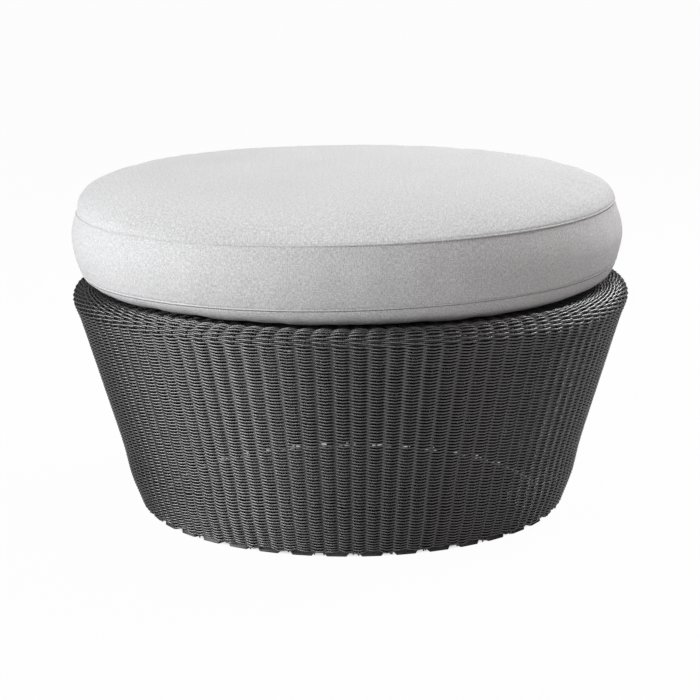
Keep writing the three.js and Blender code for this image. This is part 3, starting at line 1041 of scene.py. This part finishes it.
def dome_front(points):
    """Lets the front of the top panel down into a gentle dome, which meets the band at a clear edge."""
    sizes = bpy.context.scene.footstool_cushion
    seam = seam_height(points, UPPER_SEAM)
    share = np.clip(cushion_radii(points) / SEAM_REACH, 0, 1)
    rise = points[:, 2] - seam
    front = np.clip(np.cos(cushion_turns(points)), 0, 1) ** 1.5
    domed = (CUSHION_TOP - UPPER_SEAM) * (1 - share**sizes.front_dome) + 0.08 * rise
    lowered = np.where(rise > 0, np.minimum(rise, domed), rise)
    points[:, 2] = seam + rise + front * (lowered - rise)
    return points


def sew_seam(piece, level, below):
    """Cuts edges along a seam and draws the cover in, from just above it to a distance below it."""
    sizes = bpy.context.scene.footstool_cushion
    slope = sizes.seam_skew / SEAM_REACH
    normal = np.array([-slope, 0, 1]) / math.hypot(slope, 1)
    origin = np.array([CUSHION_X, 0, level])
    above = 1.5 * sizes.piping_diameter
    places = np.array([-below, -0.4 * below, 0.0, 0.45 * above, above])
    pushes = np.array([0.0, -1.0, -1.0, -0.8, 0.0]) * sizes.seam_depth
    for place in places:
        edit_all(piece)
        bpy.ops.mesh.bisect(plane_co=origin + place * normal, plane_no=normal, threshold=0.05 * MM)
        bpy.ops.object.mode_set(mode="OBJECT")
    points = mesh_points(piece)
    push = np.interp((points - origin) @ normal, places, pushes, left=0, right=0)
    radii = cushion_radii(points)
    out = (points - [CUSHION_X, 0, 0]) * [1, 1, 0] / np.maximum(radii, 1e-6)[:, None]
    set_mesh_points(piece, points + out * (push * (radii > NEAR_SEAM))[:, None])


def swells(points):
    """Small tucks beside the seams, waves in the band and slow swells all over, as distances outwards."""
    sizes = bpy.context.scene.footstool_cushion
    random = np.random.default_rng(5)
    turn = cushion_turns(points)
    radii = cushion_radii(points)
    move = np.zeros(len(points))
    for level in (LOWER_SEAM, UPPER_SEAM):
        off = np.abs(points[:, 2] - seam_height(points, level))
        near = np.exp(-((off / TUCK_LENGTH) ** 2)) * (radii > SIDE_START)
        wave = np.zeros(len(points))
        for _ in range(7):
            envelope = 0.5 + 0.5 * np.cos(random.integers(2, 7) * turn + random.uniform(0, TURN))
            wave += envelope * np.cos(random.integers(40, 110) * turn + random.uniform(0, TURN))
        move += TUCK_HEIGHT * near * wave
    share = (points[:, 2] - seam_height(points, LOWER_SEAM)) / (UPPER_SEAM - LOWER_SEAM)
    band = np.sin(math.pi * np.clip(share, 0, 1)) * (radii > SIDE_START)
    wave = np.zeros(len(points))
    for _ in range(BAND_WAVES):
        lean = random.uniform(-0.5, 0.5)
        count = random.integers(9, 42)
        wave += np.cos(count * turn + lean * share + random.uniform(0, TURN)) / BAND_WAVES**0.5
    move += sizes.band_waves * band * wave
    for _ in range(SLOW_SWELLS):
        angle = random.uniform(0, TURN)
        pace = TURN / random.uniform(0.14, 0.4)
        across = points[:, 0] * math.cos(angle) + points[:, 1] * math.sin(angle)
        move += SWELL_HEIGHT * np.cos(pace * across + random.uniform(0, TURN))
    return move


def zip_measures():
    """The zip tape's lowest and highest point, its first and last turn, and its inner radius."""
    low, high = heights("zip_tape")
    points = node_points("zip_tape")
    turns = cushion_turns(points) % TURN
    return low, high, float(turns.min()), float(turns.max()), float(cushion_radii(points).min())


def tuck_under_zip(points):
    """Holds the band in under the zip's tape, a little more towards the tape's edges."""
    low, high, first, last, inner = zip_measures()
    radii = cushion_radii(points)
    turns = cushion_turns(points) % TURN
    off = np.abs(points[:, 2] - (low + high) / 2) / ((high - low) / 2)
    under = (turns > first - ZIP_MARGIN) & (turns < last + ZIP_MARGIN) & (off < 1.2) & (radii > NEAR_SEAM)
    held = np.minimum(radii, inner - (0.6 + off**2) * MM)
    share = np.where(under, held / np.maximum(radii, 1e-6), 1)[:, None]
    return (points - [CUSHION_X, 0, 0]) * np.hstack([share, share, np.ones_like(share)]) + [CUSHION_X, 0, 0]


def flat_cloth(points):
    """Places of points on the flat top or underside cloth, by their distance over the cushion's curve."""
    outline = np.array(cushion_outline())
    length = np.append(0, np.cumsum(np.hypot(*np.diff(outline, axis=0).T)))
    known, _ = from_middle(*outline.T)
    radii = cushion_radii(points)
    angle, _ = from_middle(radii, points[:, 2])
    along = np.interp(angle, known, length)
    along = np.where(angle > 0, length[-1] - along, along)
    return (points[:, :2] - [CUSHION_X, 0]) * (along / np.maximum(radii, 1e-6))[:, None]


def lay_threads(piece):
    """A UV map in metres: flat across the top and underside, and wrapped round the band."""
    mesh = piece.data
    layer = mesh.uv_layers.new(name="threads")
    points = mesh_points(piece)
    corners = np.empty(len(mesh.loops), np.int32)
    mesh.loops.foreach_get("vertex_index", corners)
    totals = np.empty(len(mesh.polygons), np.int32)
    mesh.polygons.foreach_get("loop_total", totals)
    face_of = np.repeat(np.arange(len(totals)), totals)
    middle = np.zeros((len(totals), 3))
    np.add.at(middle, face_of, points[corners])
    middle /= totals[:, None]
    band = cushion_radii(middle) > 0.8 * SEAM_REACH
    band &= middle[:, 2] > seam_height(middle, LOWER_SEAM)
    band &= middle[:, 2] < seam_height(middle, UPPER_SEAM)
    corner_turn = cushion_turns(points)[corners]
    gap = corner_turn - cushion_turns(middle)[face_of]
    corner_turn = corner_turn - TURN * np.round(gap / TURN)
    flat = flat_cloth(points)[corners]
    wrapped = np.stack([corner_turn * CUSHION_REACH, points[corners][:, 2] + 2], -1)
    layer.data.foreach_set("uv", np.where(band[face_of][:, None], wrapped, flat).astype(np.float32).ravel())


class FOOTSTOOL_OT_cushion(bpy.types.Operator):
    """Sews, fills and seams the cushion's cover"""

    bl_idname = "footstool.cushion"
    bl_label = "Cushion"

    def execute(self, context):
        piece = spun("cushion_cover", cushion_outline(COVER_INSET), 180, CUSHION_X)
        piece.data.remesh_voxel_size = COVER_GRID
        make_active(piece)
        bpy.ops.object.voxel_remesh()
        inflate(piece, FILL_CAP)
        hold_outline(piece)
        apply_modifier(piece, "SUBSURF", levels=1, render_levels=1)
        points = mesh_points(piece)
        points = dome_front(points + vertex_rows(piece.data, "normal") * swells(points)[:, None])
        points[:, 2] = np.maximum(points[:, 2], UNDERSIDE)
        set_mesh_points(piece, tuck_under_zip(points))
        sew_seam(piece, LOWER_SEAM, 3 * MM)
        sew_seam(piece, UPPER_SEAM, 6 * MM)
        lay_threads(piece)
        finish = cover_finish(context.scene.footstool_finishes.cover_colour)
        panels = ("cushion_top_panel", "cushion_band", "cushion_bottom_panel", "cushion_foam")
        finish_piece(piece, "cushion", finish, panels)
        self.piping(context, piece, finish)
        self.stitches(context, piece)
        return {"FINISHED"}

    def seam_line(self, cover, level, turns):
        """Distance of a seam's groove from the cushion's axis, at turns round it."""
        points = mesh_points(cover)
        radii = cushion_radii(points)
        off = points[:, 2] - seam_height(points, level)
        beside = (np.abs(off) < 0.4 * MM) & (radii > NEAR_SEAM)
        known = cushion_turns(points[beside])
        order = np.argsort(known)
        return np.interp(turns, known[order], radii[beside][order], period=TURN)

    def place_on_seam(self, radius, turns, level):
        """Points at turns round a seam, on its slope."""
        path = around(radius, np.zeros(len(turns)), turns)
        path[:, 0] += CUSHION_X
        path[:, 2] = seam_height(path, level)
        return path

    def piping(self, context, cover, finish):
        """A thin covered cord round each seam."""
        sizes = context.scene.footstool_cushion
        turns = np.linspace(0, TURN, 500, endpoint=False)
        for name, level in (("lower", LOWER_SEAM), ("upper", UPPER_SEAM)):
            radius = self.seam_line(cover, level, turns)
            radius = np.mean([np.roll(radius, shift) for shift in range(-4, 5)], axis=0)
            path = self.place_on_seam(radius + 0.1 * sizes.piping_diameter, turns, level)
            piece = strands(f"{name}_piping", [path], sizes.piping_diameter, closed=True, sides=10)
            lay_threads(piece)
            finish_piece(piece, "cushion", finish)

    def stitches(self, context, cover):
        """Short threads under the piping of both seams, coloured dark as painted shade of the needle holes.
        """
        sizes = context.scene.footstool_cushion
        paths = []
        count = int(TURN * SEAM_REACH / sizes.stitch_pitch)
        middles = -math.pi + (np.arange(count) + 0.5) * TURN / count
        turns = middles[:, None] + np.array([-0.34, -0.12, 0.12, 0.34]) * TURN / count
        for level in (LOWER_SEAM, UPPER_SEAM):
            radii = self.seam_line(cover, level, turns.ravel()).reshape(turns.shape)
            radii = radii + np.array([-0.3, 0.2, 0.2, -0.3]) * MM
            height = level - 0.72 * sizes.piping_diameter
            paths += [self.place_on_seam(*row, height) for row in zip(radii, turns)]
        # The thread's colour is partly its own and partly painted shade: it is set far darker than the
        # cover to stand for the shade in the needle holes along the seam.
        colour = shade(context.scene.footstool_finishes.cover_colour, 0.25)
        piece = strands("seam_stitches", paths, 0.9 * MM, sides=4)
        finish_piece(piece, "cushion", plain_cloth_finish("stitch_thread_painted_shade", colour))


class FOOTSTOOL_OT_zip(bpy.types.Operator):
    """Sews the zip across the back of the cushion's band, and puts the slider on it"""

    bl_idname = "footstool.zip"
    bl_label = "Zip"

    def execute(self, context):
        cover = context.scene.footstool_finishes.cover_colour
        self.tape(shade(cover, 0.75))
        self.coil(shade(cover, 0.5))
        self.slider(shade(cover, 0.4))
        return {"FINISHED"}

    def tape(self, colour):
        low, high, first, last, inner = zip_measures()
        middle = (low + high) / 2
        section = (
            (-1.2, low + 0.5 * MM),
            (0.4, low),
            (0.7, middle - 1 * MM),
            (0.3, middle),
            (0.7, middle + 1 * MM),
            (0.4, high),
            (-1.2, high - 0.5 * MM),
            (-1.2, low + 0.5 * MM),
        )
        outline = [(inner + out * MM, height) for out, height in section]
        piece = spun("zip_tape_cloth", outline, 90, CUSHION_X, first, last - first)
        edit_all(piece)
        bpy.ops.mesh.select_all(action="DESELECT")
        bpy.ops.mesh.select_non_manifold()
        bpy.ops.mesh.edge_face_add()
        close_outwards()
        finish = plain_cloth_finish("zip_cloth", colour)
        finish_piece(piece, "cushion", finish, ("zip_tape",), smooth_angle=35)

    def coil(self, colour):
        """Interlocked teeth, as a row of short bars up and down the coil."""
        low, high, first, last, inner = zip_measures()
        middle = (low + high) / 2
        count = int((last - first) * inner / (1.5 * MM))
        paths = []
        for index in range(count):
            turn = first + (index + 0.5) * (last - first) / count
            side = 0.4 * MM if index % 2 else -0.4 * MM
            rise = np.array([-1.9, -0.9, 0.9, 1.9]) * MM + side
            radius = inner + np.array([0.4, 1.3, 1.3, 0.4]) * MM
            path = around(radius, middle + rise, np.full(4, turn))
            path[:, 0] += CUSHION_X
            paths.append(path)
        piece = strands("zip_coil", paths, 0.8 * MM, sides=4)
        finish_piece(piece, "cushion", moulded_finish("coil_plastic", colour))

    def slider(self, colour):
        """The slider's plate with a bridge on it, and the pull that hangs from the bridge."""
        low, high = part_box("zip_slider")
        centre = (low + high) / 2
        turn = math.atan2(centre.x - CUSHION_X, -centre.y)
        reach = math.hypot(centre.x - CUSHION_X, centre.y)
        middle = middle_height("zip_tape")
        plate = (12 * MM, 1.6 * MM, 10 * MM)
        boxes = [
            ((0, 0, 0), plate, 0.7 * MM),
            ((0, 1.6 * MM, 0), (4 * MM, 1.8 * MM, 5 * MM), 0.5 * MM),
            ((0, 2.4 * MM, -8 * MM), (5.4 * MM, 1.2 * MM, 16 * MM), 0.5 * MM),
        ]
        parts = []
        for place, size, round_off in boxes:
            deselect_all()
            bpy.ops.mesh.primitive_cube_add(size=1, location=place)
            part = named_active("slider_part")
            part.scale = size
            bpy.ops.object.transform_apply(location=False, rotation=False, scale=True)
            apply_modifier(part, "BEVEL", width=round_off, segments=3)
            parts.append(part)
        deselect_all()
        for part in parts:
            part.select_set(True)
        bpy.context.view_layer.objects.active = parts[0]
        bpy.ops.object.join()
        piece = named_active("zip_slider_body")
        settle(piece)
        points = mesh_points(piece)
        out, side = out_and_along(turn)
        place = np.array([CUSHION_X, 0, middle]) + out * (reach - 1.2 * MM)
        moved = place + points[:, :1] * side + points[:, 1:2] * out + points[:, 2:] * [0, 0, 1]
        set_mesh_points(piece, moved)
        edit_all(piece)
        close_outwards()
        finish = moulded_finish("slider_plastic", colour)
        finish_piece(piece, "slider", finish, ("zip_slider",), smooth_angle=40)


# The stage: floor, light and camera


def background_seen(tree):
    """How much of the white background a ray sees: all for the camera, and a share for a reflection."""
    ray = tree.nodes.new("ShaderNodeLightPath").outputs
    sockets = {0: ray["Is Glossy Ray"], 1: REFLECTED_BACKGROUND}
    seen = add_node(tree, "ShaderNodeMath", "Value", sockets, operation="MULTIPLY")
    for kind in ("Is Camera Ray", "Is Transmission Ray"):
        seen = add_node(tree, "ShaderNodeMath", "Value", {0: seen, 1: ray[kind]}, operation="MAXIMUM")
    return seen


def pale_surface(name, colour, shown):
    """A diffuse floor whose camera view is lifted towards white, except inside the stool's foot."""
    finish = Finish(name)
    tree = finish.tree
    finish.set(Base_Color=(*colour, 1), Roughness=1.0, Specular_IOR_Level=0.0)
    glow = finish.add("ShaderNodeEmission", "Emission", {"Color": (1, 1, 1, 1)})
    away = finish.add("ShaderNodeVectorMath", "Value", {0: finish.place}, operation="LENGTH")
    edge = {"Value": away, "From Min": WALL_FOOT - 35 * MM, "From Max": WALL_FOOT - 8 * MM}
    outside = finish.add("ShaderNodeMapRange", "Result", edge)
    seen = finish.math("MULTIPLY", background_seen(tree), outside)
    seen = finish.math("MULTIPLY", seen, shown)
    sockets = {"Fac": seen, 1: finish.surface.outputs["BSDF"], 2: glow}
    mixed = finish.add("ShaderNodeMixShader", "Shader", sockets)
    tree.links.new(mixed, tree.nodes["Material Output"].inputs["Surface"])
    return finish.material


# The camera's place, its dip and roll in degrees, and its focal length in picture widths
CAMERA_PLACE = (-1.4 * MM, -2.925, 0.85)
CAMERA_DIP = 12.31
CAMERA_ROLL = -0.43
CAMERA_FOCUS = 2121 / 700
# The floor's own grey, how far its view is lifted towards white, and the light from all round
FLOOR_GREY = 0.5
FLOOR_SHOWN = 0.975
WORLD_LIGHT = 0.02
STAGE_MIDDLE = Vector((0, 0, 0.25))
SOFTBOX_DISTANCE = 2.8
WHITE = (1, 1, 1)
COOL = (0.985, 0.988, 1.0)
WARM = (1.0, 0.84, 0.82)
# The share of the white background that the stool's own reflections see
REFLECTED_BACKGROUND = 0.1
# Each soft box: turn from the front towards the right, rise, width, height, power, colour
SOFTBOXES = {
    "window_left": (-75, 8, 2.2, 1.0, 53, COOL),
    "high_left_softbox": (-52, 44, 2.0, 1.0, 40, COOL),
    "low_front_softbox": (-10, 5, 1.6, 0.8, 12, WHITE),
    "top_softbox": (120, 66, 2.4, 2.4, 23, WHITE),
    "back_right_softbox": (125, 45, 1.6, 1.6, 73, WHITE),
    "right_softbox": (50, 15, 2.5, 2.5, 9.5, WARM),
}


def softbox(name, turn, rise, width, height, power, colour):
    """A soft box on a sphere round the stool, which faces the stool's middle."""
    data = bpy.data.lights.new(name, "AREA")
    data.shape = "RECTANGLE"
    data.size = width
    data.size_y = height
    data.energy = power
    data.color = colour
    light = add_object(name, data)
    turn, rise = math.radians(turn), math.radians(rise)
    side = SOFTBOX_DISTANCE * math.cos(rise)
    away = Vector((side * math.sin(turn), -side * math.cos(turn), SOFTBOX_DISTANCE * math.sin(rise)))
    light.location = STAGE_MIDDLE + away
    light.rotation_euler = away.to_track_quat("Z", "Y").to_euler()


class FOOTSTOOL_OT_stage(bpy.types.Operator):
    """Sets the pale floor, the soft light and the camera"""

    bl_idname = "footstool.stage"
    bl_label = "Stage"

    def execute(self, context):
        self.floor()
        self.lights()
        self.world(context)
        self.camera(context)
        context.scene.view_settings.view_transform = "Standard"
        return {"FINISHED"}

    def floor(self):
        deselect_all()
        bpy.ops.mesh.primitive_plane_add(size=60, location=(0, 0, 0))
        floor = named_active("floor")
        floor.data.materials.append(pale_surface("pale_floor", (FLOOR_GREY,) * 3, FLOOR_SHOWN))

    def lights(self):
        for name, values in SOFTBOXES.items():
            softbox(name, *values)

    def world(self, context):
        world = bpy.data.worlds.new("studio")
        context.scene.world = world
        world.use_nodes = True
        tree = world.node_tree
        background = tree.nodes["Background"]
        background.inputs["Color"].default_value = (1, 1, 1, 1)
        background.inputs["Strength"].default_value = WORLD_LIGHT
        white = add_node(tree, "ShaderNodeBackground", "Background", {"Color": (1, 1, 1, 1)})
        sockets = {"Fac": background_seen(tree), 1: background.outputs["Background"], 2: white}
        mixed = add_node(tree, "ShaderNodeMixShader", "Shader", sockets)
        tree.links.new(mixed, tree.nodes["World Output"].inputs["Surface"])

    def camera(self, context):
        data = bpy.data.cameras.new("camera")
        data.sensor_width = 36
        data.lens = data.sensor_width * CAMERA_FOCUS
        camera = add_object("camera", data)
        camera.location = CAMERA_PLACE
        camera.rotation_euler = (math.radians(90 - CAMERA_DIP), 0, 0)
        camera.rotation_euler.rotate_axis("Z", math.radians(CAMERA_ROLL))
        context.scene.camera = camera


class FOOTSTOOL_PT_panel(bpy.types.Panel):
    """Lists the footstool's pieces and sizes"""

    bl_label = "Footstool"
    bl_idname = "FOOTSTOOL_PT_panel"
    bl_space_type = "VIEW_3D"
    bl_region_type = "UI"
    bl_category = "Footstool"

    def draw(self, context):
        layout = self.layout
        for group in (
            context.scene.footstool_weave,
            context.scene.footstool_cushion,
            context.scene.footstool_finishes,
        ):
            column = layout.column(align=True)
            for name in group.__annotations__:
                column.prop(group, name)
        for operator in OPERATORS:
            layout.operator(operator.bl_idname)


OPERATORS = (
    FOOTSTOOL_OT_weave,
    FOOTSTOOL_OT_stakes,
    FOOTSTOOL_OT_foot_binding,
    FOOTSTOOL_OT_tubes,
    FOOTSTOOL_OT_cushion,
    FOOTSTOOL_OT_zip,
    FOOTSTOOL_OT_stage,
)
GROUPS = {
    "footstool_weave": WeaveSizes,
    "footstool_cushion": CushionSizes,
    "footstool_finishes": Finishes,
}


def register():
    """Adds the settings, the operators and the panel to Blender."""
    for group in GROUPS.values():
        bpy.utils.register_class(group)
    for name, group in GROUPS.items():
        setattr(bpy.types.Scene, name, PointerProperty(type=group))
    for entry in (*OPERATORS, FOOTSTOOL_PT_panel):
        bpy.utils.register_class(entry)


def unregister():
    """Takes the panel, the operators and the settings out of Blender."""
    for entry in (FOOTSTOOL_PT_panel, *reversed(OPERATORS)):
        bpy.utils.unregister_class(entry)
    for name, group in GROUPS.items():
        delattr(bpy.types.Scene, name)
        bpy.utils.unregister_class(group)


def main():
    """Registers the add-on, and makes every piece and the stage."""
    register()
    bpy.ops.footstool.weave()
    bpy.ops.footstool.stakes()
    bpy.ops.footstool.foot_binding()
    bpy.ops.footstool.tubes()
    bpy.ops.footstool.cushion()
    bpy.ops.footstool.zip()
    bpy.ops.footstool.stage()
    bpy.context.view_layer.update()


if __name__ == "__main__":
    main()
